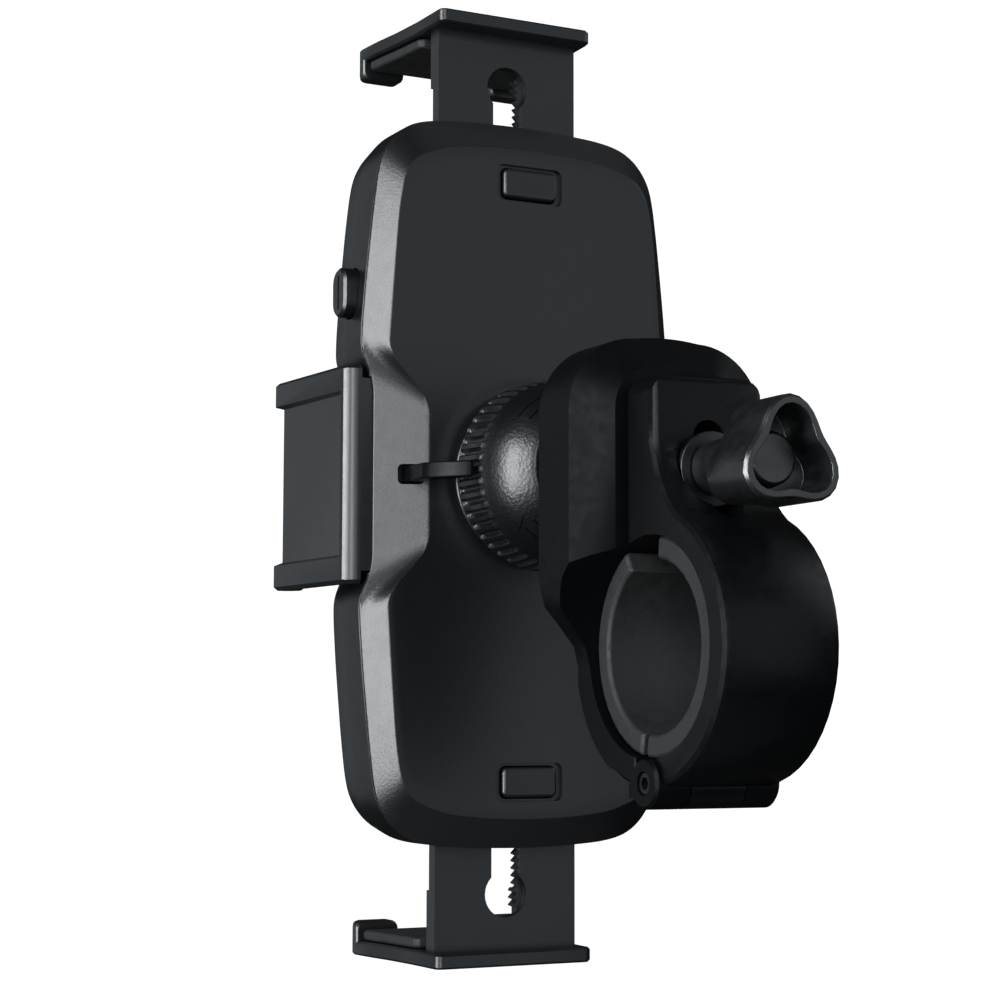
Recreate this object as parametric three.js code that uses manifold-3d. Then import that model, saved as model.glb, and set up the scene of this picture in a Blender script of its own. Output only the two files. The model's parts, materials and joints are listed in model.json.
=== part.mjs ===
// Handlebar phone mount: a spring-armed phone cradle on a ball joint, carried by a
// split bar clamp with a hinged jaw and a three-lobed hand knob.
// Millimetres, +Z up. The drawing frame has Y = 0 on the parting plane of the two
// cradle shells and Z = 0 at mid cradle; the finished part is moved so that its
// origin is the centre of the handlebar bore.
import * as THREE from 'three';
import { mergeVertices } from 'three/addons/utils/BufferGeometryUtils.js';
import initManifold from 'manifold-3d';

const wasm = await initManifold();
wasm.setup();

// ---- clearances -----------------------------------------------------------
const GAP = 0.3; // between two pieces that move or meet
const SNUG = 0.2; // between two pieces fixed together

// ---- cradle shells --------------------------------------------------------
const BACK_FACE_Y = 4.5; // flat back of the cradle
const SHELL_FRONT_Y = -15; // front face of the front shell
const BEZEL_Y = -8; // where the side wall starts to lean in
const BEZEL_INSET = 1.3;
const SHELL_WALL = 2;
const PAD_FRONT_Y = -16.2; // phone rests on this face
// quarter outline at the parting plane, from the waist up to the crown
const RIM_QUARTER = [
  [30.5, 17.5], [33.0, 22.8], [33.0, 27.0], [32.3, 36.0], [31.0, 49.0], [30.0, 57.0],
  [29.1, 60.8], [27.3, 63.9], [24.9, 66.2], [22.0, 67.7], [17.6, 68.6], [9.0, 69.2], [0, 69.4],
];
// the same points where the chamfer band meets the flat back
const BACK_QUARTER = [
  [20.8, 13.3], [29.3, 22.5], [29.0, 27.0], [28.4, 36.0], [27.5, 48.5], [26.5, 55.0],
  [25.8, 57.2], [24.6, 59.0], [23.2, 60.2], [21.5, 61.0], [17.0, 62.6], [9.0, 63.5], [0, 63.8],
];

// ---- ball joint -----------------------------------------------------------
const BALL_Y = 18;
const BALL_R = 10;
const STEM_R = 5.5;
const NUT_FRONT_Y = 8.6;
const NUT_SHOULDER_Y = 17;
const NUT_REAR_Y = 27;
const NUT_R = 17.75;
const NUT_OPENING_R = 10;
const NUT_GROOVES = 48;
const COLLET_R = 14;

// ---- bar clamp ------------------------------------------------------------
const BORE_Y = 66.2;
const BORE_Z = -33.5;
const BORE_R = 18.2;
const RING_R = 22.9;
const LINER_OUTER_R = 18.0;
const LINER_INNER_R = 14.3;
const JAW_HALF = 10.8; // half width of the jaw along the bar
const BLOCK_REAR_Y = 43.3;
const BLOCK_EDGE_Y = 54.6;
const BLOCK_FACE_Y = 58.3;
const BLOCK_HALF = 19.2;
const BLOCK_TOP_Z = 19.5;
const BLOCK_NECK_HALF = 11.6;
const TAB_INNER_Y = 58.8;
const TAB_OUTER_Y = 67.6;
const TAB_TOP_Z = 11.5;
const HINGE_Y = 66.0;
const HINGE_Z = -55.5;
const KNUCKLE_R = 4.2;
const KNUCKLE_SEAM = 5.3;
const KNUCKLE_HALF = 11.9;
const HINGE_PIN_R = 1.9;
const BOLT_Z = -4.3;
const BOLT_R = 2.5;
const BOLT_TIP_Y = 47;
const KNOB_BACK_Y = 80;
const KNOB_FACE_Y = 92;
const KNOB_MEAN_R = 8.3;
const KNOB_LOBE = 1.4;

// ---- end brackets ---------------------------------------------------------
const PLATE_HALF = 15;
const PLATE_REAR_Y = -5.1;
const PLATE_FRONT_Y = -7.6;
const PLATE_INNER_Z = 44;
const KEYHOLE_Z = 78.3;
const KEYHOLE_R = 4.4;
const SLOT_HALF = 3.05;
const HOOK_OUTER_Z = 91.4;
const HOOK_THICK = 2.8;
const HOOK_REAR_Y = -0.8;
const HOOK_FRONT_Y = -35.2;
const HOOK_LIP_Y = -32;
const HOOK_LIP_Z = 84.8;
const HOOK_FRONT_HALF = 19.2;
const PRONG_INNER_X = 10; // each hook's lip is two prongs with an open gap between them
const TONGUE_FRONT_Y = -8.6;
const TONGUE_INNER_Z = 77.3;
const RACK_LAYER_Y = -6.4; // behind this the plate has the keyhole, in front the toothed slot
const RACK_TOOTH = 1.4;

// ---- side arms ------------------------------------------------------------
const ARM_HALF = 20.4;
const ARM_ROOT_HALF = 18;
const ARM_REAR_Y = -0.3;
const ARM_FRONT_Y = -30.8; // rims at the arm's two ends
const ARM_PANEL_FRONT_Y = -28.3;
const ARM_PANEL_REAR_Y = -2.2;
const ARM_PANEL_HALF = 15;
const ARM_PANEL_DEPTH = 1;
const ARM_THICK = 2.6;
const RACK_MODULE = 0.9;
const PINION_TEETH = 12;

// ---- solids ---------------------------------------------------------------
function toManifold(geometry) {
  const bare = geometry.index ? geometry.toNonIndexed() : geometry.clone();
  for (const name of Object.keys(bare.attributes)) {
    if (name !== 'position') bare.deleteAttribute(name);
  }
  const welded = mergeVertices(bare, 1e-4);
  const index = [];
  for (let i = 0; i < welded.index.count; i += 3) {
    const a = welded.index.getX(i);
    const b = welded.index.getX(i + 1);
    const c = welded.index.getX(i + 2);
    if (a !== b && b !== c && a !== c) index.push(a, b, c);
  }
  const mesh = new wasm.Mesh({
    numProp: 3,
    vertProperties: new Float32Array(welded.attributes.position.array),
    triVerts: new Uint32Array(index),
  });
  return new wasm.Manifold(mesh);
}

function toGeometry(solid) {
  const mesh = solid.getMesh();
  const geometry = new THREE.BufferGeometry();
  geometry.setAttribute('position', new THREE.BufferAttribute(new Float32Array(mesh.vertProperties), 3));
  geometry.setIndex(new THREE.BufferAttribute(new Uint32Array(mesh.triVerts), 1));
  return geometry;
}

const join = (...solids) => solids.reduce((sum, next) => sum.add(next));
const cut = (body, ...tools) => tools.reduce((rest, tool) => rest.subtract(tool), body);

function shapeOf(points, holes = []) {
  const shape = new THREE.Shape(points.map(([a, b]) => new THREE.Vector2(a, b)));
  for (const hole of holes) {
    shape.holes.push(new THREE.Path(hole.map(([a, b]) => new THREE.Vector2(a, b))));
  }
  return shape;
}

function extrude(shape, depth, bevel, steps) {
  const geometry = new THREE.ExtrudeGeometry(shape, {
    depth: depth - 2 * bevel,
    bevelEnabled: bevel > 0,
    bevelThickness: bevel,
    bevelSize: bevel,
    bevelOffset: -bevel,
    bevelSegments: steps,
    curveSegments: 8,
  });
  geometry.translate(0, 0, bevel);
  return geometry;
}

// a shape drawn in (x, z), standing from y0 to y1
function alongY(shape, y0, y1, bevel = 0, steps = 1) {
  const geometry = extrude(shape, y1 - y0, bevel, steps);
  const basis = new THREE.Matrix4().makeBasis(
    new THREE.Vector3(1, 0, 0),
    new THREE.Vector3(0, 0, 1),
    new THREE.Vector3(0, -1, 0),
  );
  basis.setPosition(0, y1, 0);
  return toManifold(geometry.applyMatrix4(basis));
}

// a shape drawn in (y, z), standing from x0 to x1
function alongX(shape, x0, x1, bevel = 0, steps = 1) {
  const geometry = extrude(shape, x1 - x0, bevel, steps);
  const basis = new THREE.Matrix4().makeBasis(
    new THREE.Vector3(0, 1, 0),
    new THREE.Vector3(0, 0, 1),
    new THREE.Vector3(1, 0, 0),
  );
  basis.setPosition(x0, 0, 0);
  return toManifold(geometry.applyMatrix4(basis));
}

// a shape drawn in (x, y), standing from z0 to z1
function alongZ(shape, z0, z1, bevel = 0, steps = 1) {
  const geometry = extrude(shape, z1 - z0, bevel, steps);
  geometry.translate(0, 0, z0);
  return toManifold(geometry);
}

function box(x0, x1, y0, y1, z0, z1) {
  const geometry = new THREE.BoxGeometry(x1 - x0, y1 - y0, z1 - z0);
  geometry.translate((x0 + x1) / 2, (y0 + y1) / 2, (z0 + z1) / 2);
  return toManifold(geometry);
}

// rings of equal length, each a closed loop of [x, y, z]; the ends are closed with fans
function loft(rings) {
  const count = rings[0].length;
  const positions = rings.flat(2);
  const index = [];
  for (let k = 0; k + 1 < rings.length; k += 1) {
    for (let i = 0; i < count; i += 1) {
      const j = (i + 1) % count;
      const a = k * count + i;
      const b = k * count + j;
      index.push(a, b, b + count, a, b + count, a + count);
    }
  }
  for (const [ring, base, flip] of [[rings[0], 0, true], [rings.at(-1), (rings.length - 1) * count, false]]) {
    const centre = positions.length / 3;
    for (const axis of [0, 1, 2]) positions.push(ring.reduce((sum, p) => sum + p[axis], 0) / count);
    for (let i = 0; i < count; i += 1) {
      const j = (i + 1) % count;
      if (flip) index.push(centre, base + j, base + i);
      else index.push(centre, base + i, base + j);
    }
  }
  const geometry = new THREE.BufferGeometry();
  geometry.setAttribute('position', new THREE.BufferAttribute(new Float32Array(positions), 3));
  geometry.setIndex(index);
  return toManifold(geometry);
}

// a closed profile of [r, y] turned about the Y axis
function turned(profile, segments, centre = [0, 0]) {
  const positions = [];
  const index = [];
  const count = profile.length;
  for (let s = 0; s < segments; s += 1) {
    const angle = (s / segments) * Math.PI * 2;
    for (const [r, y] of profile) {
      positions.push(centre[0] + r * Math.cos(angle), y, centre[1] + r * Math.sin(angle));
    }
  }
  for (let s = 0; s < segments; s += 1) {
    const next = (s + 1) % segments;
    for (let i = 0; i < count; i += 1) {
      const j = (i + 1) % count;
      const a = s * count + i;
      const b = s * count + j;
      const c = next * count + j;
      const d = next * count + i;
      index.push(a, b, c, a, c, d);
    }
  }
  const geometry = new THREE.BufferGeometry();
  geometry.setAttribute('position', new THREE.BufferAttribute(new Float32Array(positions), 3));
  geometry.setIndex(index);
  return toManifold(geometry);
}

// ---- outlines -------------------------------------------------------------
// mirror a quarter outline (+x, +z) into a closed anticlockwise loop
function fullLoop(quarter) {
  const upRight = quarter;
  const upLeft = quarter.slice(0, -1).reverse().map(([x, z]) => [-x, z]);
  const downLeft = quarter.map(([x, z]) => [-x, -z]);
  const downRight = quarter.slice(0, -1).reverse().map(([x, z]) => [x, -z]);
  return [...upRight, ...upLeft, ...downLeft, ...downRight];
}

// move every corner of an anticlockwise loop inwards by a distance
function inset(loop, distance) {
  return loop.map((point, i) => {
    const before = loop[(i + loop.length - 1) % loop.length];
    const after = loop[(i + 1) % loop.length];
    const n1 = edgeNormal(before, point);
    const n2 = edgeNormal(point, after);
    const scale = distance / (1 + n1[0] * n2[0] + n1[1] * n2[1]);
    return [point[0] - (n1[0] + n2[0]) * scale, point[1] - (n1[1] + n2[1]) * scale];
  });
}

function edgeNormal(a, b) {
  const length = Math.hypot(b[0] - a[0], b[1] - a[1]);
  return [(b[1] - a[1]) / length, -(b[0] - a[0]) / length];
}

const ringAtY = (loop, y) => loop.map(([x, z]) => [x, y, z]).reverse();

function arc(cx, cy, r, from, to, steps) {
  const points = [];
  for (let i = 0; i <= steps; i += 1) {
    const angle = ((from + ((to - from) * i) / steps) * Math.PI) / 180;
    points.push([cx + r * Math.cos(angle), cy + r * Math.sin(angle)]);
  }
  return points;
}

const circle = (cx, cy, r, steps) => arc(cx, cy, r, 0, 360 - 360 / steps, steps - 1);

function roundedBox(x0, x1, z0, z1, r, steps = 4) {
  return [
    ...arc(x1 - r, z1 - r, r, 0, 90, steps),
    ...arc(x0 + r, z1 - r, r, 90, 180, steps),
    ...arc(x0 + r, z0 + r, r, 180, 270, steps),
    ...arc(x1 - r, z0 + r, r, 270, 360, steps),
  ];
}

function smooth(points, steps) {
  const curve = new THREE.CatmullRomCurve3(points.map(([a, b]) => new THREE.Vector3(a, b, 0)));
  return curve.getPoints(steps).map((p) => [p.x, p.y]);
}

const mirrorX = (solid) => solid.mirror([1, 0, 0]);
const mirrorZ = (solid) => solid.mirror([0, 0, 1]);

// ---- assembly -------------------------------------------------------------
const mount = new THREE.Group();
mount.name = 'phone_mount';

const LOOKS = {
  plastic: { color: 0x1f2022, roughness: 0.5, metalness: 0 },
  gloss: { color: 0x17181a, roughness: 0.32, metalness: 0 },
  rubber: { color: 0x141516, roughness: 0.85, metalness: 0 },
  steel: { color: 0x8d9094, roughness: 0.35, metalness: 1 },
  darkSteel: { color: 0x2b2c2e, roughness: 0.4, metalness: 1 },
};

function add(name, solid, look) {
  const geometry = toGeometry(solid);
  geometry.translate(0, -BORE_Y, -BORE_Z);
  const mesh = new THREE.Mesh(geometry, new THREE.MeshStandardMaterial(LOOKS[look]));
  mesh.name = name;
  mesh.material.name = `${name}_finish`;
  mount.add(mesh);
}

// ---- cradle: back shell ---------------------------------------------------
const rim = fullLoop(RIM_QUARTER);
const back = fullLoop(BACK_QUARTER);

function backShell() {
  const outer = loft([ringAtY(rim, 0), ringAtY(rim, 0.4), ringAtY(back, BACK_FACE_Y)]);
  const hollow = loft(
    [ringAtY(inset(rim, SHELL_WALL), -1), ringAtY(inset(back, 1.6), BACK_FACE_Y - SHELL_WALL)],
  );
  const neck = turned(
    [
      [14.3, 2.4], [20.3, 2.4], [20.3, 4.45], [19.2, 4.65], [17.8, 4.82], [17, 4.9],
      [15.6, 4.9], [15.6, NUT_FRONT_Y - GAP - 0.1], [14.3, NUT_FRONT_Y - GAP - 0.1],
    ],
    40,
  );
  const neckBore = turned([[0.0, -2], [14.3, -2], [14.3, 9], [0.0, 9]], 40);
  const waistCut = box(-40, 40, -1, ARM_REAR_Y + GAP, -ARM_ROOT_HALF, ARM_ROOT_HALF);
  let shell = cut(join(cut(outer, hollow), neck), neckBore, waistCut);
  for (const side of [1, -1]) {
    const mid = side * 56.9;
    const recess = shapeOf(roundedBox(-7, 7, mid - 3.6, mid + 3.6, 1.4));
    const through = shapeOf(roundedBox(-5.95, 5.95, mid - 3.1, mid + 3.1, 1.3));
    shell = cut(shell, alongY(recess, 3.7, 8), alongY(through, 0, 8));
  }
  const pawlSlot = shapeOf(roundedBox(21.9, 26.4, -1.9, 1.9, 0.9, 2));
  return cut(shell, alongY(pawlSlot, -1, 8));
}
add('back_shell', backShell(), 'plastic');

// ---- cradle: front shell --------------------------------------------------
function frontShell() {
  const outer = loft(
    [
      ringAtY(inset(rim, BEZEL_INSET), SHELL_FRONT_Y),
      ringAtY(rim, BEZEL_Y),
      ringAtY(rim, -GAP),
    ],
  );
  const inner = inset(rim, SHELL_WALL + 0.4);
  const hollow = loft([ringAtY(inner, SHELL_FRONT_Y + 2.6), ringAtY(inner, 1)]);
  const padSeat = loft([ringAtY(inset(rim, 4), -16), ringAtY(inset(rim, 4), -14.2)]);
  const plateSlot = box(-15.3, 15.3, TONGUE_FRONT_Y - GAP, PLATE_REAR_Y + GAP, -80, 80);
  const armSlot = box(-40, 40, -3.3, 1, -ARM_ROOT_HALF - GAP, ARM_ROOT_HALF + GAP);
  const buttonHole = alongX(shapeOf(roundedBox(-9.45, -2.95, 29.75, 39.75, 3.2)), 27, 40);
  return cut(outer, hollow, padSeat, plateSlot, armSlot, buttonHole);
}
add('front_shell', frontShell(), 'gloss');

// rubber sheet the phone lies on, with shallow cross grooves
function frontPad() {
  const outline = inset(rim, 4.2);
  const sheet = loft([ringAtY(inset(outline, 0.5), PAD_FRONT_Y), ringAtY(outline, -14.4)]);
  const grooves = [-48, -36, 36, 48].map((z) => box(-20, 20, PAD_FRONT_Y - 1, PAD_FRONT_Y + 0.6, z - 1, z + 1));
  return cut(sheet, ...grooves);
}
add('front_pad', frontPad(), 'rubber');

// ---- ball joint -----------------------------------------------------------
// spherical arc in profile form, angles measured from the -Y axis of the ball
function ballArc(r, from, to, steps) {
  return arc(0, 0, r, from, to, steps).map(([cos, sin]) => [Math.max(0, sin), BALL_Y - cos]);
}

function socketCollet() {
  const body = turned(
    [
      [0, 0.3], [17.3, 0.3], [17.3, 2.2], [COLLET_R, 2.2], [COLLET_R, 20.5], [9.9, 20.5], [10.4, 18], [10.4, 15.8],
      [12.35, 15.5], ...ballArc(12.6, 75, 0, 4),
    ],
    32,
  );
  const slits = [0, 90].map((angle) => box(-0.6, 0.6, 13, 22, -15, 15).rotate([0, angle + 45, 0]));
  return cut(body, ...slits);
}
add('socket_collet', socketCollet(), 'plastic');
add('ball_seat', turned([...ballArc(10.2, 50, 0, 3), ...ballArc(11.2, 0, 50, 3)], 24), 'plastic');
add('seat_washer', turned([...ballArc(11.45, 60, 0, 3), ...ballArc(12.3, 0, 60, 3)], 24), 'rubber');

function ballStud() {
  const neckAngle = 180 - (Math.asin(STEM_R / BALL_R) * 180) / Math.PI;
  return turned(
    [
      ...ballArc(BALL_R, 0, neckAngle, 9), [STEM_R, 38.4], [7.4, 40], [10.6, 40.8], [11, 41.4],
      [11, BLOCK_REAR_Y - SNUG], [0, BLOCK_REAR_Y - SNUG],
    ],
    32,
  );
}
add('ball_stud', ballStud(), 'gloss');

function ballNut() {
  const kerb = [[14.3, NUT_FRONT_Y], [NUT_R - 0.8, NUT_FRONT_Y], [NUT_R - 0.6, 9.6], [14.3, 9.6]];
  const dome = [
    [14.3, 16.4], [NUT_R - 0.75, 16.4], [16.6, 17.1], [16.1, 19.2], [14.6, 22.6], [12.4, 25.4],
    [NUT_OPENING_R + 0.6, NUT_REAR_Y], [NUT_OPENING_R, 26.5], [NUT_OPENING_R + 0.2, 25], [12.2, 22.4], [14.3, 20.8],
  ];
  const outline = [];
  for (let k = 0; k < NUT_GROOVES; k += 1) {
    const angle = (k * 360) / NUT_GROOVES;
    for (const [r, offset] of [[NUT_R, -2.1], [NUT_R, 2.1], [NUT_R - 0.85, 3.75]]) {
      outline.push(arc(0, 0, r, angle + offset, angle + offset, 1)[0]);
    }
  }
  const knurl = alongY(shapeOf(outline, [circle(0, 0, 14.3, NUT_GROOVES)]), 9.6, 16.4);
  return join(turned(kerb, NUT_GROOVES), knurl, turned(dome, NUT_GROOVES));
}
add('ball_nut', ballNut(), 'plastic');

// ---- side arms ------------------------------------------------------------
const PITCH_R = (RACK_MODULE * PINION_TEETH) / 2;
const PITCH = Math.PI * RACK_MODULE;

// rack bar drawn in (x, z) with its teeth pointing to -z
function rackOutline(x0, x1, zTop) {
  const points = [[x1, PITCH_R + 1.15 * RACK_MODULE], [x1, zTop], [x0, zTop], [x0, PITCH_R + 1.15 * RACK_MODULE]];
  const first = Math.ceil(x0 / PITCH) + 1;
  const last = Math.floor(x1 / PITCH) - 1;
  for (let k = first; k <= last; k += 1) {
    const x = (k + 0.5) * PITCH;
    points.push([x - 0.85, PITCH_R + 1.15 * RACK_MODULE], [x - 0.3, PITCH_R - 0.6 * RACK_MODULE]);
    points.push([x + 0.3, PITCH_R - 0.6 * RACK_MODULE], [x + 0.85, PITCH_R + 1.15 * RACK_MODULE]);
  }
  return points;
}

// the recess in the arm's outer face, with sloped ends; it runs out at the front edge
function armPanel() {
  const slope = ARM_PANEL_HALF + 0.8;
  const tub = (outline, half, depth) => [-half, half].map((z) => [z, outline(depth)]);
  const face = (depth) => [
    [36.25 - depth, ARM_PANEL_REAR_Y - 0.5 * depth], [38.5 - depth, -34], [50, -34], [50, ARM_PANEL_REAR_Y],
  ];
  const front = (depth) => {
    const y = ARM_PANEL_FRONT_Y - 2.4 * (ARM_PANEL_DEPTH - depth);
    return [[30, y], [30, -36], [50, -36], [50, y]];
  };
  return join(...[face, front].map((outline) => {
    const [near, far] = tub(outline, ARM_PANEL_HALF, ARM_PANEL_DEPTH);
    const [nearEnd, farEnd] = tub(outline, slope, -0.2);
    return loft([nearEnd, near, far, farEnd].map(([z, ring]) => ring.map(([x, y]) => [x, y, z])));
  }));
}

function armBody() {
  // section seen from above: outer plate leaning out to the front, rounded rear corner
  const section = [
    [30, -2.9], [33.0, -2.9], [33.4, -3.4], [35.1, -26], [32.9, -26.3], [32.9, -28.4], [34.0, -30],
    [35.4, ARM_FRONT_Y], [37.5, ARM_FRONT_Y], [38.2, -30], [36.1, -3], [35.8, -1.8], [35.1, -0.9],
    [34.2, -0.45], [33.4, ARM_REAR_Y], [30, ARM_REAR_Y],
  ];
  const plate = alongZ(shapeOf(section), -ARM_HALF, ARM_HALF, 0.7);
  const trimmedRoot = box(20, 32.6, -5, 2, -30, 30);
  const root = alongY(
    shapeOf([
      [16, -12], [16, 12], [18.5, 16], [29, ARM_ROOT_HALF], [33.4, ARM_ROOT_HALF],
      [33.4, -ARM_ROOT_HALF], [29, -ARM_ROOT_HALF], [18.5, -16],
    ]),
    -2.9,
    ARM_REAR_Y,
  );
  const panel = armPanel();
  const rack = alongY(shapeOf(rackOutline(-19.5, 17, 11)), -2.9, ARM_REAR_Y);
  const pinionRoom = alongY(shapeOf(circle(0, 0, 7, 24)), -5, 2);
  const otherRack = box(10, 22, -5, 2, -11.4, -3.6);
  return cut(join(cut(plate, trimmedRoot), cut(root, pinionRoom, otherRack), rack), panel);
}

const armSolid = armBody();
add('left_arm', armSolid, 'plastic');
add('right_arm', armSolid.rotate([0, 180, 0]), 'plastic');

const armPad = alongZ(shapeOf([[33.2, -17], [34.2, -17.0], [34.75, -25.4], [33.8, -25.4]]), -17, 17, 0.2);
add('left_arm_pad', armPad, 'rubber');
add('right_arm_pad', armPad.rotate([0, 180, 0]), 'rubber');

function pinion() {
  const outline = [];
  for (let k = 0; k < PINION_TEETH; k += 1) {
    const angle = (k * 360) / PINION_TEETH;
    const root = PITCH_R - 1.1 * RACK_MODULE;
    const tip = PITCH_R + 0.6 * RACK_MODULE;
    for (const [r, offset] of [[root, -7.6], [PITCH_R, -5.4], [tip, -2.6], [tip, 2.6], [PITCH_R, 5.4], [root, 7.6]]) {
      outline.push(arc(0, 0, r, angle + offset, angle + offset, 1)[0]);
    }
  }
  return alongY(shapeOf(outline, [circle(0, 0, 2.05, 24)]), -2.9, -0.3);
}
add('arm_pinion', pinion(), 'plastic');
add('pinion_axle', turned([[0, -12.2], [4, -12.2], [4, -3.2], [2, -3.2], [2, 0], [0, 0]], 24), 'steel');

// ---- end brackets ---------------------------------------------------------
function keyhole() {
  const open = (Math.asin(SLOT_HALF / KEYHOLE_R) * 180) / Math.PI;
  const head = arc(0, KEYHOLE_Z, KEYHOLE_R, -90 + open, 270 - open, 24);
  return [...head, [-SLOT_HALF, 49], [SLOT_HALF, 49]];
}

// opening in the front layer of the plate: ratchet teeth along one side of the slot, a wide head above
function toothedSlot() {
  const teeth = [];
  for (let z = 81; z > 51; z -= RACK_TOOTH) {
    teeth.push([-SLOT_HALF, z], [-SLOT_HALF + 0.8, z - 0.3], [-SLOT_HALF + 0.8, z - 0.5], [-SLOT_HALF, z - 1.3]);
  }
  const wide = KEYHOLE_R + 0.2;
  return [[SLOT_HALF, 49], [SLOT_HALF, 74], [wide, 75.2], [wide, 83], [-SLOT_HALF, 83], ...teeth, [-SLOT_HALF, 49]];
}

function bracket() {
  const plate = alongY(
    shapeOf([[-PLATE_HALF, PLATE_INNER_Z], [PLATE_HALF, PLATE_INNER_Z], [PLATE_HALF, 89], [-PLATE_HALF, 89]]),
    PLATE_FRONT_Y,
    PLATE_REAR_Y,
  );
  const tongue = alongY(
    shapeOf([[-PLATE_HALF, TONGUE_INNER_Z], [PLATE_HALF, TONGUE_INNER_Z], [PLATE_HALF, 89], [-PLATE_HALF, 89]]),
    TONGUE_FRONT_Y,
    PLATE_FRONT_Y + 0.2,
  );
  const side = [
    ...arc(15, HOOK_REAR_Y - 1.6, 1.6, 90, 0, 4), [16.9, -12], [17.6, -20], [18.6, -27],
    ...arc(HOOK_FRONT_HALF - 1.8, HOOK_FRONT_Y + 1.8, 1.8, 0, -90, 4),
  ];
  const outline = [...side, ...side.slice().reverse().map(([x, y]) => [-x, y])];
  const end = alongZ(shapeOf(outline), HOOK_OUTER_Z - HOOK_THICK, HOOK_OUTER_Z, 0.4);
  const prongOutline = [
    ...arc(HOOK_FRONT_HALF - 1.8, HOOK_LIP_Z + 1.8, 1.8, 0, -90, 4),
    ...arc(PRONG_INNER_X + 1.8, HOOK_LIP_Z + 1.8, 1.8, -90, -180, 4),
    [PRONG_INNER_X, HOOK_OUTER_Z - 0.5], [HOOK_FRONT_HALF, HOOK_OUTER_Z - 0.5],
  ];
  const within = alongZ(shapeOf(outline), HOOK_LIP_Z - 1, HOOK_OUTER_Z);
  const prong = alongY(shapeOf(prongOutline), HOOK_FRONT_Y, HOOK_LIP_Y, 0.4).intersect(within);
  const hole = alongY(shapeOf(keyhole()), RACK_LAYER_Y, 0);
  const slot = alongY(shapeOf(toothedSlot()), -12, RACK_LAYER_Y + 0.01);
  return cut(join(plate, tongue, end, prong, mirrorX(prong)), hole, slot);
}
const bracketSolid = bracket();
add('top_bracket', bracketSolid, 'gloss');
add('bottom_bracket', mirrorZ(bracketSolid), 'gloss');

const hookPadSide = [[14.9, -11.6], [15.9, -12.5], [16.7, -20], [17.7, -27], [18.2, -30.6], [17.4, -31.5]];
const hookPadOutline = [...hookPadSide, ...hookPadSide.slice().reverse().map(([x, y]) => [-x, y])];
const hookPad = alongZ(shapeOf(hookPadOutline), 86.4, HOOK_OUTER_Z - HOOK_THICK - SNUG, 0.4);
add('top_hook_pad', hookPad, 'rubber');
add('bottom_hook_pad', mirrorZ(hookPad), 'rubber');

// ---- buttons and lock pawl ------------------------------------------------
function releaseButton(side) {
  const mid = side * 56.95;
  const face = alongY(shapeOf(roundedBox(-5.7, 5.7, mid - 2.85, mid + 2.85, 1.1)), 0.8, 5.0, 0.4);
  const stem = alongY(shapeOf(roundedBox(-3, 3, mid - 1.4, mid + 1.4, 0.4, 1)), -3.2, 1.2);
  return join(face, stem);
}
add('top_release_button', releaseButton(1), 'gloss');
add('bottom_release_button', releaseButton(-1), 'gloss');

function sideButton() {
  const body = alongX(shapeOf(roundedBox(-9.2, -3.2, 30, 39.5, 2.95, 5)), 28.6, 35.2, 0.5);
  const groove = box(34.7, 36, -6.6, -5.8, 31.5, 38);
  return cut(body, groove);
}
add('side_release_button', sideButton(), 'plastic');

function lockPawl() {
  const side = [
    [22.2, 0.3], [24.9, 0.3], [24.9, 9.6], [24.2, 11.6], [19.6, 17], [18.9, 17.5],
    [18.2, 17.3], [18.05, 16.6], [18.05, 14.2], [22.2, 9],
  ];
  return alongZ(shapeOf(side), -1.5, 1.5, 0.25);
}
add('lock_pawl', lockPawl(), 'gloss');

// ---- bar clamp: fixed half ------------------------------------------------
function blockHalfOutline(half, top, corner, neck) {
  const crown = [0, 0.25, 0.5, 0.75, 1].map((t) => [(half - corner) * t, top - 0.45 * t * t]);
  const bend = arc(half - corner, top - 0.45 - corner, corner, 84, 0, 14);
  const waist = [[half, -22], [half * 0.94, -26.4], [(half + neck) / 2 - 0.2, -29.6], [neck + 0.8, -33], [neck, -36.5]];
  return [...crown, ...bend, ...waist, [neck, -62]];
}

function blockRing(half, top, corner, neck, y) {
  const right = blockHalfOutline(half, top, corner, neck);
  const left = right.slice(1).reverse().map(([x, z]) => [-x, z]);
  return [...right, ...left].map(([x, z]) => [x, y, z]);
}

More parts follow.
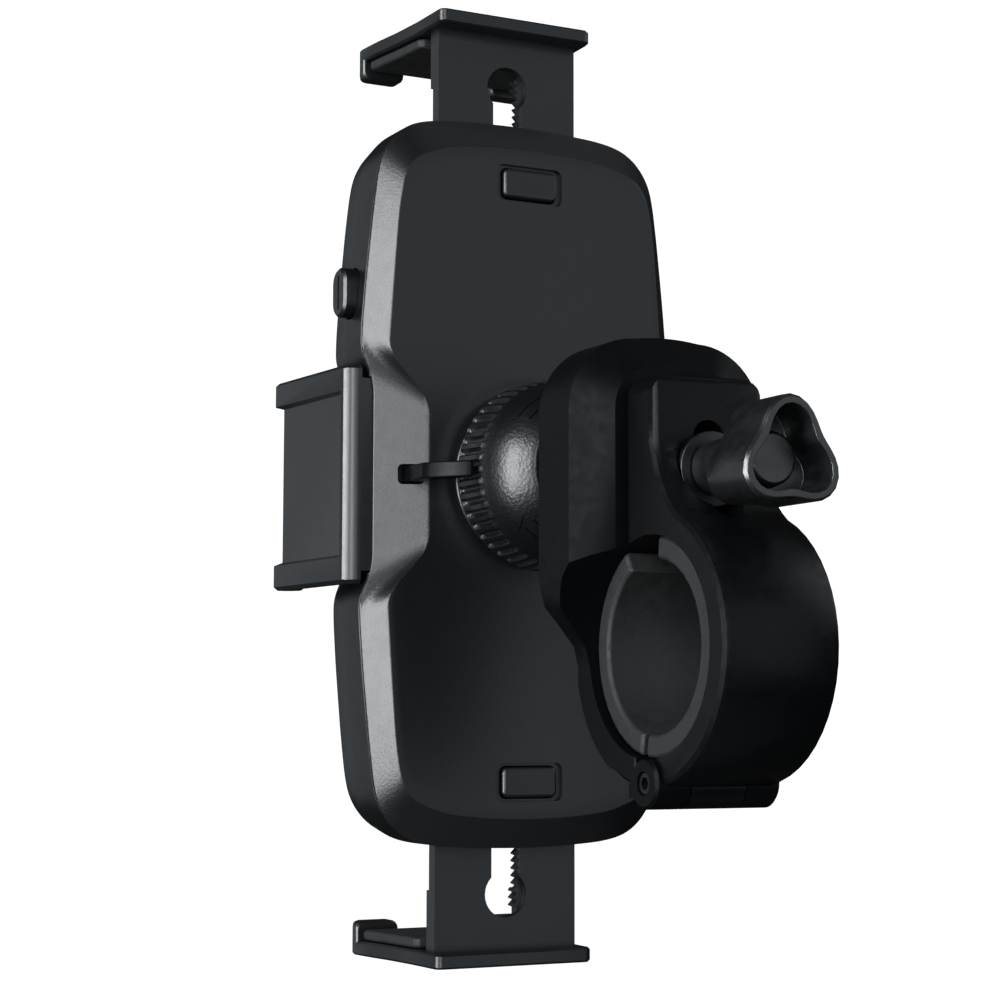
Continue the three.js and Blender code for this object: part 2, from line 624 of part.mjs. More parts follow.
function clampBase() {
  const block = loft(
    [
      blockRing(BLOCK_HALF - 0.8, BLOCK_TOP_Z - 0.8, 12.6, BLOCK_NECK_HALF - 0.8, BLOCK_REAR_Y),
      blockRing(BLOCK_HALF, BLOCK_TOP_Z, 13, BLOCK_NECK_HALF, BLOCK_REAR_Y + 0.8),
      blockRing(BLOCK_HALF, BLOCK_TOP_Z, 13, BLOCK_NECK_HALF, BLOCK_EDGE_Y),
      blockRing(12.4, 14.2, 7.4, 6.5, BLOCK_FACE_Y),
    ],
  );
  // side profile that rounds the lower end into the ring
  const profile = [[BLOCK_REAR_Y - 1, 25], [BLOCK_REAR_Y - 1, BORE_Z], ...arc(BORE_Y, BORE_Z, RING_R, 180, 262, 12), [63, -40], [BLOCK_FACE_Y + 1, -20], [BLOCK_FACE_Y + 1, 25]];
  const trimmed = block.intersect(alongX(shapeOf(profile), -30, 30));
  const ringArc = [...arc(BORE_Y, BORE_Z, RING_R, 186, 262, 12), ...arc(BORE_Y, BORE_Z, BORE_R - 1, 262, 186, 12)];
  const ring = alongX(shapeOf(ringArc), -BLOCK_NECK_HALF, BLOCK_NECK_HALF, 0.8);
  const bore = alongX(shapeOf(circle(BORE_Y, BORE_Z, BORE_R, 56)), -30, 30);
  const knuckle = alongX(shapeOf(circle(HINGE_Y, HINGE_Z, KNUCKLE_R, 28)), -KNUCKLE_HALF, KNUCKLE_HALF, 0.5);
  const web = box(-BLOCK_NECK_HALF + 0.3, BLOCK_NECK_HALF - 0.3, 60.5, 64.5, -58, -53.2);
  const middle = box(-KNUCKLE_SEAM - 0.15, KNUCKLE_SEAM + 0.15, 61.4, 75, -62, -50.5);
  const split = box(-30, 30, 63.0, 72, -62, -30);
  const pin = alongX(shapeOf(circle(HINGE_Y, HINGE_Z, HINGE_PIN_R + 0.05, 20)), -20, 20);
  const pocket = turned([[0, 46.6], [4.7, 46.6], [4.7, 60], [0, 60]], 24, [0, BOLT_Z]);
  const half = cut(join(trimmed, ring), split);
  return cut(join(half, knuckle, web), bore, middle, pin, pocket);
}
add('clamp_base', clampBase(), 'plastic');

function liner(from, to) {
  const outline = [
    ...arc(BORE_Y, BORE_Z, LINER_OUTER_R, from, to, 16),
    ...arc(BORE_Y, BORE_Z, LINER_INNER_R, to, from, 16),
  ];
  return alongX(shapeOf(outline), -10.2, 10.2, 0.5);
}
add('base_liner', liner(118, 258), 'rubber');
add('insert_nut', turned([[2.6, 46.9], [4.4, 46.9], [4.4, 58.1], [2.6, 58.1]], 24, [0, BOLT_Z]), 'steel');

function hingePin() {
  const pin = alongX(shapeOf(circle(HINGE_Y, HINGE_Z, HINGE_PIN_R, 20)), -11.6, 11.6, 0.2);
  const socket = alongX(shapeOf(circle(HINGE_Y, HINGE_Z, 1.15, 6)), 10.2, 13);
  return cut(pin, socket);
}
add('hinge_pin', hingePin(), 'darkSteel');

// ---- bar clamp: hinged jaw ------------------------------------------------
function clampJaw() {
  const cove = smooth([[TAB_OUTER_Y, 0], [68.6, -3.2], [70.1, -6.4], [72.3, -9.8], [75.2, -12.55]], 8);
  const tabTop = [...arc(TAB_OUTER_Y - 1.6, TAB_TOP_Z - 1.6, 1.6, 90, 0, 3)];
  const ringFrom = (Math.atan2(-12.55 - BORE_Z, 75.2 - BORE_Y) * 180) / Math.PI;
  const outline = [
    [TAB_INNER_Y, -30], [TAB_INNER_Y, TAB_TOP_Z - 1], [TAB_INNER_Y + 1, TAB_TOP_Z], ...tabTop, ...cove.slice(0, -1),
    ...arc(BORE_Y, BORE_Z, RING_R, ringFrom, -82, 20),
    [BORE_Y, -56.3], [63.4, -56.1], [63.4, -30],
  ];
  const body = alongX(shapeOf(outline), -JAW_HALF, JAW_HALF, 1.2, 2);
  const corners = roundedBox(-JAW_HALF - 2, JAW_HALF + 2, -80, 30, 1);
  const tabWindow = alongY(
    shapeOf([
      [-20, -80], [20, -80], [20, -2], [JAW_HALF + 0.1, 0],
      ...arc(JAW_HALF - 4.6, TAB_TOP_Z - 4.6, 4.7, 0, 90, 5),
      ...arc(-JAW_HALF + 4.6, TAB_TOP_Z - 4.6, 4.7, 90, 180, 5),
      [-JAW_HALF - 0.1, 0], [-20, -2],
    ]),
    50,
    95,
  );
  const bore = alongX(shapeOf(circle(BORE_Y, BORE_Z, BORE_R, 56)), -30, 30);
  const knuckle = alongX(shapeOf(circle(HINGE_Y, HINGE_Z, KNUCKLE_R, 28)), -KNUCKLE_SEAM + 0.15, KNUCKLE_SEAM - 0.15);
  const sideRooms = [1, -1].map((side) => {
    const room = alongX(shapeOf(circle(HINGE_Y, HINGE_Z, KNUCKLE_R + GAP, 28)), KNUCKLE_SEAM - 0.15, 14);
    return side > 0 ? room : mirrorX(room);
  });
  const splitRoom = box(-30, 30, 55, 63.3, -60, -30);
  const slot = alongY(shapeOf(roundedBox(-3.1, 3.1, -13, 4, 3.05)), 50, 80);
  const boltCove = turned([[0, TAB_OUTER_Y], [6.9, TAB_OUTER_Y], [7.3, 84], [0, 84]], 28, [0, BOLT_Z]);
  const pin = alongX(shapeOf(circle(HINGE_Y, HINGE_Z, HINGE_PIN_R + 0.05, 20)), -20, 20);
  const jaw = cut(body.intersect(tabWindow), ...sideRooms, splitRoom);
  return cut(join(jaw, knuckle), bore, slot, boltCove, pin);
}
add('clamp_jaw', clampJaw(), 'plastic');
add('jaw_liner', liner(-97, 84), 'rubber');

// ---- hand knob and bolt ---------------------------------------------------
add('flat_washer', turned([[2.7, 67.9], [6.3, 67.9], [6.3, 69.1], [2.7, 69.1]], 32, [0, BOLT_Z]), 'darkSteel');

function trilobe(mean, lobe, steps = 36) {
  const points = [];
  for (let i = 0; i < steps; i += 1) {
    const angle = (i / steps) * Math.PI * 2;
    const r = mean + lobe * Math.cos(3 * (angle - Math.PI / 2));
    points.push([r * Math.cos(angle), BOLT_Z + r * Math.sin(angle)]);
  }
  return points;
}

function clampKnob() {
  const level = (scale, y) => trilobe(KNOB_MEAN_R * scale, KNOB_LOBE * scale).map(([x, z]) => [x, y, z]).reverse();
  const head = loft([
    level(0.62, KNOB_BACK_Y - 2.5), level(0.93, KNOB_BACK_Y), level(1, KNOB_BACK_Y + 1),
    level(1, KNOB_FACE_Y - 0.7), level(0.95, KNOB_FACE_Y),
  ]);
  const hub = turned([[0, 69.4], [4.5, 69.4], [4.7, 73], [4.8, 79], [0, 79]], 24, [0, BOLT_Z]);
  const cup = alongY(shapeOf(trilobe(KNOB_MEAN_R - 1.6, KNOB_LOBE)), KNOB_FACE_Y - 8, KNOB_FACE_Y + 1);
  const boss = turned([[0, 83], [4.6, 83], [4.4, 86], [3.9, 86.5], [0, 86.5]], 24, [0, BOLT_Z]);
  const bolt = turned([[0, 60], [2.6, 60], [2.6, 84.3], [0, 84.3]], 24, [0, BOLT_Z]);
  return cut(join(cut(join(head, hub), cup), boss), bolt);
}
add('clamp_knob', clampKnob(), 'gloss');
add('clamp_bolt', turned([[0, BOLT_TIP_Y], [2.0, BOLT_TIP_Y], [BOLT_R, 47.6], [BOLT_R, 84.1], [0, 84.1]], 24, [0, BOLT_Z]), 'steel');

export default mount;
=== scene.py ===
import json
import math
import bmesh
import bpy
from mathutils import Matrix, Vector


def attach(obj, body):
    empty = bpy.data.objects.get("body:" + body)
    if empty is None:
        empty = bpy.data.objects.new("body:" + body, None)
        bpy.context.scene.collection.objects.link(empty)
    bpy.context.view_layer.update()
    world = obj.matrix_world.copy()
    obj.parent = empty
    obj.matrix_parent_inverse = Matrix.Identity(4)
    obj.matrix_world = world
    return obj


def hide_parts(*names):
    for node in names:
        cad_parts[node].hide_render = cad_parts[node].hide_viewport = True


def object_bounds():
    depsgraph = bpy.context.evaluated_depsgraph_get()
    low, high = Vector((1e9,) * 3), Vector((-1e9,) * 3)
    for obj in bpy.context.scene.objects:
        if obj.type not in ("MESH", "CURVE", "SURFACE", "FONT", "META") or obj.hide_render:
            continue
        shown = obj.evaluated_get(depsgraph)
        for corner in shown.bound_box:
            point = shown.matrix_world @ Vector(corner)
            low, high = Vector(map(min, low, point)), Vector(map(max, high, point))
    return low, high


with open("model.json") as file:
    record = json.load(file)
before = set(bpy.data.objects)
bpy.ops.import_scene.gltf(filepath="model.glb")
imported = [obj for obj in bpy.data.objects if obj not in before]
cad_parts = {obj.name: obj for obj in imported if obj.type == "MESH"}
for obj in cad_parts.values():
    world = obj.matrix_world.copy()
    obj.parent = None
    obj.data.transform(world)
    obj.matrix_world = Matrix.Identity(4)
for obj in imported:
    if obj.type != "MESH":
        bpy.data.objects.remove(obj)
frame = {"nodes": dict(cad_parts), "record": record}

cad_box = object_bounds()
MM = 0.001
BORE = (0.0, 66.2, -33.5)  # centre of the handlebar bore in the drawing frame, mm


def row(x, y, z):
    """A point of the drawing frame, in mm, as a point of the row frame, in metres."""
    return Vector(((x - BORE[0]) * MM, (y - BORE[1]) * MM, (z - BORE[2]) * MM))


# ---------------------------------------------------------------- camera
AZIMUTH, ELEVATION, ROLL = math.radians(152.87), math.radians(-5.63), math.radians(0.12)
CAMERA_PLACE = (0.19756, 0.31155, -0.01196)
LENS_MM = 80.54
back = Vector((
    math.sin(AZIMUTH) * math.cos(ELEVATION),
    -math.cos(AZIMUTH) * math.cos(ELEVATION),
    math.sin(ELEVATION),
))
right = (-back).cross(Vector((0, 0, 1))).normalized()
up = right.cross(-back)
cam_right = right * math.cos(ROLL) + up * math.sin(ROLL)
cam_up = up * math.cos(ROLL) - right * math.sin(ROLL)
camera_data = bpy.data.cameras.new("camera")
camera_data.lens = LENS_MM
camera_data.sensor_width = 36
camera_data.clip_start = 0.01
camera = bpy.data.objects.new("camera", camera_data)
camera.matrix_world = Matrix.Translation(Vector(CAMERA_PLACE)) @ Matrix(
    (cam_right, cam_up, back)).transposed().to_4x4()
bpy.context.collection.objects.link(camera)
bpy.context.scene.camera = camera


# ---------------------------------------------------------------- materials
def node(tree, kind, **values):
    made = tree.nodes.new(kind)
    for key, value in values.items():
        if key in made.inputs:
            made.inputs[key].default_value = value
        else:
            setattr(made, key, value)
    return made


CLOUD_SCALE, SPECK_SCALE = 55.0, 420.0  # noise cells per metre: colour drift and uneven gloss
FINE_SIZE = 0.35  # the fine grain's size as a share of a leather cell
FINE_WEIGHT = 0.35  # how much of the fine grain is added to the leather's height
CELL_SMOOTHNESS = 0.35
BARE_BUMP = 0.12  # bump strength where there is no leather grain, before scuff is added
BUMP_DEPTH = 0.0001  # metres


def plastic(name, colour, rough, grain=0.0, cell=0.45, swing=0.08, tint=0.25, specular=0.5, scuff=0.0):
    """Moulded plastic: uneven gloss, a faint colour drift and leather grain (cell in mm) or else scuff."""
    mat = bpy.data.materials.new(name)
    mat.use_nodes = True
    tree = mat.node_tree
    link = tree.links.new
    shader = tree.nodes["Principled BSDF"]
    shader.inputs["Specular IOR Level"].default_value = specular
    place = node(tree, "ShaderNodeTexCoord").outputs["Object"]

    cloud = node(tree, "ShaderNodeTexNoise", Scale=CLOUD_SCALE, Detail=4.0, Roughness=0.6)
    link(place, cloud.inputs["Vector"])
    drift = node(tree, "ShaderNodeMix", data_type="RGBA")
    drift.inputs[6].default_value = (*[c * (1 - tint) for c in colour], 1)
    drift.inputs[7].default_value = (*[c * (1 + tint) for c in colour], 1)
    link(cloud.outputs["Fac"], drift.inputs[0])
    link(drift.outputs[2], shader.inputs["Base Color"])

    speck = node(tree, "ShaderNodeTexNoise", Scale=SPECK_SCALE, Detail=5.0, Roughness=0.65)
    link(place, speck.inputs["Vector"])
    spread = node(tree, "ShaderNodeMapRange")
    spread.inputs["From Min"].default_value = 0.3
    spread.inputs["From Max"].default_value = 0.7
    spread.inputs["To Min"].default_value = rough - swing
    spread.inputs["To Max"].default_value = rough + swing
    link(speck.outputs["Fac"], spread.inputs["Value"])
    link(spread.outputs["Result"], shader.inputs["Roughness"])

    fine = node(tree, "ShaderNodeTexNoise", Scale=1000.0 / (cell * FINE_SIZE), Detail=2.0, Roughness=0.5)
    link(place, fine.inputs["Vector"])
    height = fine.outputs["Fac"]
    strength = BARE_BUMP + scuff
    if grain:
        cells = node(tree, "ShaderNodeTexVoronoi", Scale=1000.0 / cell, feature="SMOOTH_F1")
        cells.inputs["Smoothness"].default_value = CELL_SMOOTHNESS
        link(place, cells.inputs["Vector"])
        mix = node(tree, "ShaderNodeMath", operation="MULTIPLY_ADD")
        mix.inputs[1].default_value = FINE_WEIGHT
        link(fine.outputs["Fac"], mix.inputs[0])
        link(cells.outputs["Distance"], mix.inputs[2])
        height = mix.outputs[0]
        strength = grain
    bump = node(tree, "ShaderNodeBump", Strength=strength, Distance=BUMP_DEPTH)
    link(height, bump.inputs["Height"])
    link(bump.outputs["Normal"], shader.inputs["Normal"])
    return mat


def steel(name, colour, rough):
    """Plated steel with fine turning marks."""
    mat = plastic(name, colour, rough, swing=0.1, tint=0.12, scuff=0.1)
    mat.node_tree.nodes["Principled BSDF"].inputs["Metallic"].default_value = 1.0
    return mat


CHARCOAL = (0.0034, 0.0039, 0.0044)
INK = (0.0019, 0.0022, 0.0026)
RUBBER = (0.0028, 0.0029, 0.0032)
look = {
    "face": plastic("back_face_fine_grain", CHARCOAL, 0.35, grain=0.16, cell=0.5, swing=0.015, tint=0.1),
    "band": plastic("chamfer_band_grain", CHARCOAL, 0.38, grain=0.6, cell=0.62, swing=0.02, tint=0.1),
    "satin": plastic("side_wall_satin", INK, 0.36, specular=0.32, swing=0.03),
    "clamp": plastic("clamp_block_satin", INK, 0.36, specular=0.06),
    "clamp_grain": plastic("clamp_block_leather", INK, 0.42, grain=0.5, cell=0.62, specular=0.14),
    "leather": plastic("leather_grain", INK, 0.34, grain=0.34, cell=0.62, swing=0.03),
    "bracket": plastic("bracket_semi_gloss", CHARCOAL, 0.34, swing=0.03),
    "arm": plastic("arm_satin", CHARCOAL, 0.38, specular=0.75, swing=0.03),
    "panel": plastic("arm_panel_fine_grain", CHARCOAL, 0.46, grain=0.16, cell=0.4, specular=0.8),
    "gloss": plastic("stud_gloss", INK, 0.27),
    "pawl": plastic("pawl_satin", INK, 0.34, specular=0.08),
    "knob": plastic("knob_gloss", CHARCOAL, 0.34, specular=0.8),
    "jaw": plastic("jaw_semi_gloss", INK, 0.33, specular=0.14),
    "jaw_band": plastic("jaw_band_grain", INK, 0.42, grain=0.3, cell=0.5, specular=0.14),
    "button": plastic("button_satin", INK, 0.36),
    "rubber": plastic("rubber_matt", RUBBER, 0.72, grain=0.3, cell=0.35, swing=0.12),
    "seat": plastic("socket_plastic", (0.008, 0.008, 0.009), 0.5),
    "steel": steel("zinc_plated_steel", (0.45, 0.46, 0.48), 0.34),
    "dark_steel": steel("blackened_steel", (0.05, 0.05, 0.055), 0.38),
}


# ---------------------------------------------------------------- mesh helpers
def make_object(name, mesh, materials, body, cad_nodes=()):
    mesh.name = name
    obj = bpy.data.objects.new(name, mesh)
    bpy.context.collection.objects.link(obj)
    mesh.materials.clear()
    for key in materials:
        mesh.materials.append(look[key])
    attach(obj, body)
    if cad_nodes:
        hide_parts(*cad_nodes)
    return obj


def smooth(mesh, angle=32):
    for polygon in mesh.polygons:
        polygon.use_smooth = True
    mesh.set_sharp_from_angle(angle=math.radians(angle))


def add_bevel(obj, width, segments=3, angle=32):
    bevel = obj.modifiers.new("edge_round", "BEVEL")
    bevel.width = width * MM
    bevel.segments = segments
    bevel.limit_method = "ANGLE"
    bevel.angle_limit = math.radians(angle)
    bevel.harden_normals = True
    bevel.use_clamp_overlap = True


BODY_OF = {n: b for b, names in frame["record"]["behaviour"]["bodies"].items() for n in names}
WELD = 1e-6  # metres: vertices closer than this become one
FLAT_DEGREES = 0.8  # neighbouring faces that differ by less become one


def refine(cad_node, materials, width=0.35, segments=3, angle=32, zone=None):
    """The CAD node's own shape with clean faces and rounded edges; zone picks each face's material."""
    source = frame["nodes"][cad_node]
    bm = bmesh.new()
    bm.from_mesh(source.data)
    bm.transform(source.matrix_world)
    bmesh.ops.remove_doubles(bm, verts=bm.verts, dist=WELD)
    bmesh.ops.dissolve_limit(bm, angle_limit=math.radians(FLAT_DEGREES), verts=bm.verts, edges=bm.edges)
    if zone:
        for face in bm.faces:
            face.material_index = zone(face.calc_center_median(), face.normal)
    mesh = bpy.data.meshes.new(cad_node)
    bm.to_mesh(mesh)
    bm.free()
    smooth(mesh, angle)
    obj = make_object("fine_" + cad_node, mesh, materials, BODY_OF[cad_node], (cad_node,))
    if width:
        add_bevel(obj, width, segments, angle)


# ---------------------------------------------------------------- outlines of the cradle
RIM_QUARTER = [
    (30.5, 17.5), (33.0, 22.8), (33.0, 27.0), (32.3, 36.0), (31.0, 49.0), (30.0, 57.0),
    (29.1, 60.8), (27.3, 63.9), (24.9, 66.2), (22.0, 67.7), (17.6, 68.6), (9.0, 69.2), (0.0, 69.4),
]
BACK_QUARTER = [
    (20.8, 13.3), (29.3, 22.5), (29.0, 27.0), (28.4, 36.0), (27.5, 48.5), (26.5, 55.0),
    (25.8, 57.2), (24.6, 59.0), (23.2, 60.2), (21.5, 61.0), (17.0, 62.6), (9.0, 63.5), (0.0, 63.8),
]
BACK_FACE_Y = 4.5
BORE_R = 14.3
NECK = [  # radius and Y of the collar under the nut
    (BORE_R, 8.2), (15.3, 8.2), (15.55, 8.1), (15.6, 7.8), (15.6, 5.1), (15.75, 4.9), (16.9, 4.9),
]
RING_TOP_R, RING_FOOT_R, RING_RISE = 16.9, 20.3, 0.4


def full_loop(quarter):
    points = list(quarter)
    points += [(-x, z) for x, z in reversed(quarter[:-1])]
    points += [(-x, -z) for x, z in quarter]
    points += [(x, -z) for x, z in reversed(quarter[:-1])]
    return points


def rounded(loop, passes=3, longest=1.5):
    """Cuts the corners of a closed loop again and again, so that it becomes a smooth curve."""
    for _ in range(passes):
        out = []
        for i, (x0, z0) in enumerate(loop):
            x1, z1 = loop[(i + 1) % len(loop)]
            share = min(0.25, longest / math.dist((x0, z0), (x1, z1)))
            out.append((x0 + (x1 - x0) * share, z0 + (z1 - z0) * share))
            out.append((x1 + (x0 - x1) * share, z1 + (z0 - z1) * share))
        loop = out
        longest *= 0.4
    return loop


def radius_at(loop, angle):
    """Distance from the centre to the loop in the direction of the angle."""
    dx, dz = math.cos(angle), math.sin(angle)
    best = 0.0
    for i, (x0, z0) in enumerate(loop):
        x1, z1 = loop[(i + 1) % len(loop)]
        ex, ez = x1 - x0, z1 - z0
        det = dx * -ez + dz * ex
        if abs(det) < 1e-12:
            continue
        t = (x0 * -ez + z0 * ex) / det
        s = (dx * z0 - dz * x0) / det
        if t > 0 and -1e-9 <= s <= 1 + 1e-9:
            best = max(best, t)
    return best


RIM_LOOP = rounded(full_loop(RIM_QUARTER))
BACK_LOOP = rounded(full_loop(BACK_QUARTER))


def spokes(count):
    """Directions round the cradle, closer together where the outline turns."""
    loop = RIM_LOOP
    total = sum(math.dist(loop[i], loop[(i + 1) % len(loop)]) for i in range(len(loop)))
    step, walked, angles = total / count, 0.0, []
    for i, a in enumerate(loop):
        b = loop[(i + 1) % len(loop)]
        length = math.dist(a, b)
        while walked < length:
            t = walked / length
            angles.append(math.atan2(a[1] + (b[1] - a[1]) * t, a[0] + (b[0] - a[0]) * t))
            walked += step
        walked -= length
    return sorted(angles)[:count]


def grid_mesh(name, rings, closed_ends=True, material=None):
    """A closed skin over rings of equally many points; each end is filled by one face."""
    bm = bmesh.new()
    made = [[bm.verts.new(p) for p in ring] for ring in rings]
    count = len(rings[0])
    for k in range(len(rings) - 1):
        for i in range(count):
            j = (i + 1) % count
            face = bm.faces.new((made[k][i], made[k][j], made[k + 1][j], made[k + 1][i]))
            if material:
                face.material_index = material(k, i)
    if closed_ends == "loop":
        for i in range(count):
            j = (i + 1) % count
            face = bm.faces.new((made[-1][i], made[-1][j], made[0][j], made[0][i]))
            if material:
                face.material_index = material(len(rings) - 1, i)
    elif closed_ends:
        bm.faces.new(list(reversed(made[0])))
        bm.faces.new(made[-1])
    bmesh.ops.recalc_face_normals(bm, faces=bm.faces)
    mesh = bpy.data.meshes.new(name)
    bm.to_mesh(mesh)
    bm.free()
    return mesh


def ease(t):
    t = min(1.0, max(0.0, t))
    return t * t * (3 - 2 * t)


def ring_height(r):
    return BACK_FACE_Y + RING_RISE * ease((RING_FOOT_R - r) / (RING_FOOT_R - RING_TOP_R))


# ---------------------------------------------------------------- boolean cutters
def cutter(name, mesh):
    return bpy.data.objects.new(name, mesh)


def cut_with(obj, tools):
    """Takes the tools away from the object and keeps the result as its own mesh."""
    for tool in tools:
        bpy.context.collection.objects.link(tool)
        cut = obj.modifiers.new("cut", "BOOLEAN")
        cut.operation = "DIFFERENCE"
        cut.solver = "EXACT"
        cut.object = tool
    bpy.context.view_layer.update()
    graph = bpy.context.evaluated_depsgraph_get()
    result = bpy.data.meshes.new_from_object(obj.evaluated_get(graph))
    obj.modifiers.clear()
    old = obj.data
    obj.data = result
    bpy.data.meshes.remove(old)
    for tool in tools:
        data = tool.data
        bpy.data.objects.remove(tool)
        bpy.data.meshes.remove(data)


def rounded_prism(name, x, z, r, y, steps=6):
    """A rounded rectangle in (x, z) that stands from y[0] to y[1]."""
    points = []
    x_low, x_high, z_low, z_high = x[0] + r, x[1] - r, z[0] + r, z[1] - r
    corners = ((x_high, z_high, 0), (x_low, z_high, 90), (x_low, z_low, 180), (x_high, z_low, 270))
    for cx, cz, start in corners:
        for k in range(steps + 1):
            a = math.radians(start + 90 * k / steps)
            points.append((cx + r * math.cos(a), cz + r * math.sin(a)))
    rings = [[row(px, level, pz) for px, pz in points] for level in y]
    return cutter(name, grid_mesh(name, rings))


def block(name, x, y, z):
    corners = [(x[0], z[0]), (x[1], z[0]), (x[1], z[1]), (x[0], z[1])]
    return cutter(name, grid_mesh(name, [[row(px, level, pz) for px, pz in corners] for level in y]))


# ---------------------------------------------------------------- back shell
SPOKES = 420
RING_STEPS, FACE_STEPS = 10, 12
BAND_FALL = 0.955  # share of the band's height lost before the edge at the parting plane
WALL, INNER_Y = 1.9, 2.5  # width of the rim's flat and height of the face inside it
RELEASE_Z = 56.95  # centre of each release button
angles = spokes(SPOKES)
rim_r = [radius_at(RIM_LOOP, a) for a in angles]
back_r = [radius_at(BACK_LOOP, a) for a in angles]


def shell_ring(radii, heights):
    return [row(r * math.cos(a), y, r * math.sin(a)) for r, a, y in zip(radii, angles, heights)]


def back_shell():
    rings = []
    zones = []
    for r, y in NECK:
        rings.append(shell_ring([r] * SPOKES, [y] * SPOKES))
        zones.append(0)
    for k in range(1, RING_STEPS + 1):
        r = RING_TOP_R + (RING_FOOT_R - RING_TOP_R) * k / RING_STEPS
        rings.append(shell_ring([r] * SPOKES, [ring_height(r)] * SPOKES))
        zones.append(0)
    for k in range(1, FACE_STEPS + 1):
        radii = [RING_FOOT_R + (rb - RING_FOOT_R) * k / FACE_STEPS for rb in back_r]
        rings.append(shell_ring(radii, [BACK_FACE_Y] * SPOKES))
        zones.append(0 if k < FACE_STEPS else 1)
    # exactly linear from 0.1 to 0.9, so that no edge shows round the pawl slot
    slope = [(0.1 * k, 0.08 + 0.815 * (0.1 * k - 0.1) / 0.8) for k in range(1, 10)]
    for t, sink in [(0.02, 0.005), (0.05, 0.03), *slope, (0.96, 0.957), (0.99, 0.985)]:
        radii = [rb + (rr - rb) * t for rb, rr in zip(back_r, rim_r)]
        rings.append(shell_ring(radii, [BACK_FACE_Y * (1 - sink * BAND_FALL)] * SPOKES))
        zones.append(1)
    rings.append(shell_ring(rim_r, [0.14] * SPOKES))
    rings.append(shell_ring([r - 0.12 for r in rim_r], [0.0] * SPOKES))
    rings.append(shell_ring([r - WALL for r in rim_r], [0.0] * SPOKES))
    rings.append(shell_ring([min(rb - 1.2, 0.94 * rr) for rb, rr in zip(back_r, rim_r)], [INNER_Y] * SPOKES))
    rings.append(shell_ring([BORE_R] * SPOKES, [INNER_Y] * SPOKES))
    zones += [1] * 5
    mesh = grid_mesh("back_shell", rings, "loop", lambda k, i: zones[min(k, len(zones) - 1)])
    obj = make_object("shell_back", mesh, ("face", "band"), "cradle", ("back_shell",))
    tools = []
    for side in (1, -1):
        mid = side * RELEASE_Z
        tools.append(rounded_prism("recess", x=(-7.0, 7.0), z=(mid - 3.6, mid + 3.6), r=1.4, y=(3.7, 8.0)))
        tools.append(rounded_prism("through", x=(-5.95, 5.95), z=(mid - 3.1, mid + 3.1), r=1.3, y=(0.5, 8.0)))
    tools.append(rounded_prism("pawl_slot", x=(21.9, 26.4), z=(-1.9, 1.9), r=0.9, y=(-1.0, 9.0)))
    cut_with(obj, tools)
    smooth(obj.data, 30)


back_shell()


# ---------------------------------------------------------------- front shell
def front_shell():
    def ring(inset, y):
        return shell_ring([r - inset for r in rim_r], [y] * SPOKES)

    outside = [
        (2.4, -0.3), (0.15, -0.3), (0.0, -0.45), (0.0, -4.0), (0.0, -7.7), (0.05, -8.2),
        (0.6, -11.3), (1.15, -14.2), (1.35, -14.8), (1.8, -15.0),
    ]
    inside = [(4.0, -15.0), (4.0, -14.2), (12.0, -14.2), (12.0, -12.4), (2.4, -12.4)]
    rings = [ring(inset, y) for inset, y in outside + inside]
    mesh = grid_mesh("front_shell", rings, "loop")
    obj = make_object("shell_front", mesh, ("satin",), "cradle", ("front_shell",))
    tools = [
        block("plate_slot", x=(-15.3, 15.3), y=(-8.9, -4.8), z=(-80, 80)),
        block("arm_slot", x=(-40, 40), y=(-3.3, 1.0), z=(-18.3, 18.3)),
    ]
    # made along Y, then X and Y are swapped, which turns it inside out until its normals are flipped
    hole = rounded_prism("button_hole", x=(-9.45, -2.95), z=(29.75, 39.75), r=3.2, y=(27.0, 40.0))
    for vertex in hole.data.vertices:
        x, y, z = vertex.co
        vertex.co = Vector((y + BORE[1] * MM, x - BORE[1] * MM, z))
    hole.data.flip_normals()
    tools.append(hole)
    cut_with(obj, tools)
    smooth(obj.data, 30)


front_shell()


# ---------------------------------------------------------------- ball nut
GRIP_RINGS = range(4, 14)  # from the lip's edge to the end of the grooves
GROOVES, GROOVE_STEPS = 48, 12
GROOVE_DEPTH = 0.95
GROOVE_HALF = 0.27  # half a groove's width as a share of its pitch
ARROW_STARTS = (39, 150.5, 262)  # where each turn arrow's tail lies, degrees


